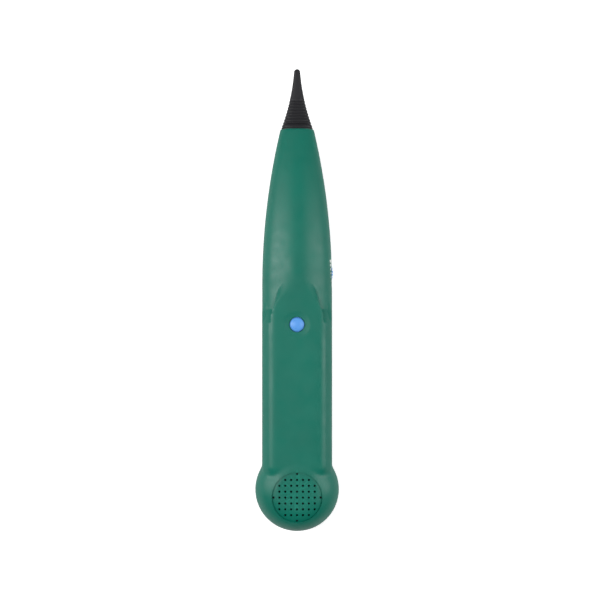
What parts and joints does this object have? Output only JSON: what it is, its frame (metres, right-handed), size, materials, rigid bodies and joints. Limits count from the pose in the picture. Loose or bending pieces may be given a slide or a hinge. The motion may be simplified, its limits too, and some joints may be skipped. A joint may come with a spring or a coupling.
{
  "type": "circuit breaker finder receiver",
  "caption": "Hand-held receiver of a circuit breaker finder: slim housing with a flat probe tip, push button, volume thumbwheel, speaker bulb, earphone jack and battery door.",
  "frame": {"origin": "middle of the outline in X and Y, on the surface that the tool's back rests on", "axes": "+Y towards the probe tip, +Z out of the front face with the button, +X to the right seen from the front"},
  "size_m": [0.046, 0.254, 0.0284],
  "materials": {
    "housing": "satin green ABS",
    "control": "satin light blue",
    "tip": "satin black conductive rubber",
    "inner_plastic": "black",
    "white_plastic": "natural",
    "foam": "foam",
    "brass": "plated",
    "steel": "zinc plated",
    "chrome": "nickel plated",
    "ferrite": "sintered",
    "copper": "enamelled copper wire",
    "board": "solder mask",
    "can": "sleeved can",
    "lead": "wire insulation"
  },
  "bodies": {
    "housing": {"front_shell": "housing", "back_shell": "housing", "probe_tip": "tip", "tip_contact": "brass", "tip_holder": "white_plastic", "ferrite_core": "ferrite", "pickup_coil": "copper", "circuit_board": "board", "board_screws": "steel", "amplifier_chips": "inner_plastic", "capacitors": "can", "resistors": "inner_plastic", "switch_body": "inner_plastic", "potentiometer": "inner_plastic", "speaker_frame": "steel", "speaker_cone": "inner_plastic", "speaker_magnet": "ferrite", "speaker_gasket": "foam", "jack_body": "inner_plastic", "jack_ferrule": "chrome", "battery": "can", "snap_connector": "inner_plastic", "battery_leads": "lead", "speaker_leads": "lead", "jack_lead": "lead", "tip_lead": "lead", "coil_lead": "lead", "shell_screws": "steel"},
    "button": {"button_cap": "control", "switch_plunger": "white_plastic"},
    "wheel": {"volume_wheel": "control", "wheel_screw": "steel"},
    "door": {"battery_door": "housing", "door_foam": "foam"}
  },
  "joints": [
    {"name": "button_press", "type": "slide", "parent": "housing", "child": "button", "axis": [0, 0, -1], "range_m": [0, 0.0008], "stiffness_N_per_m": 500, "springref_m": -0.0005},
    {"name": "volume_turn", "type": "hinge", "parent": "housing", "child": "wheel", "pos_m": [0.0087, 0.0147, 0.013], "axis": [0, 0, 1], "range_deg": [-150, 150]},
    {"name": "door_swing", "type": "hinge", "parent": "housing", "child": "door", "pos_m": [0, -0.0236, 0.0007], "axis": [1, 0, 0], "range_deg": [0, 40]}
  ]
}
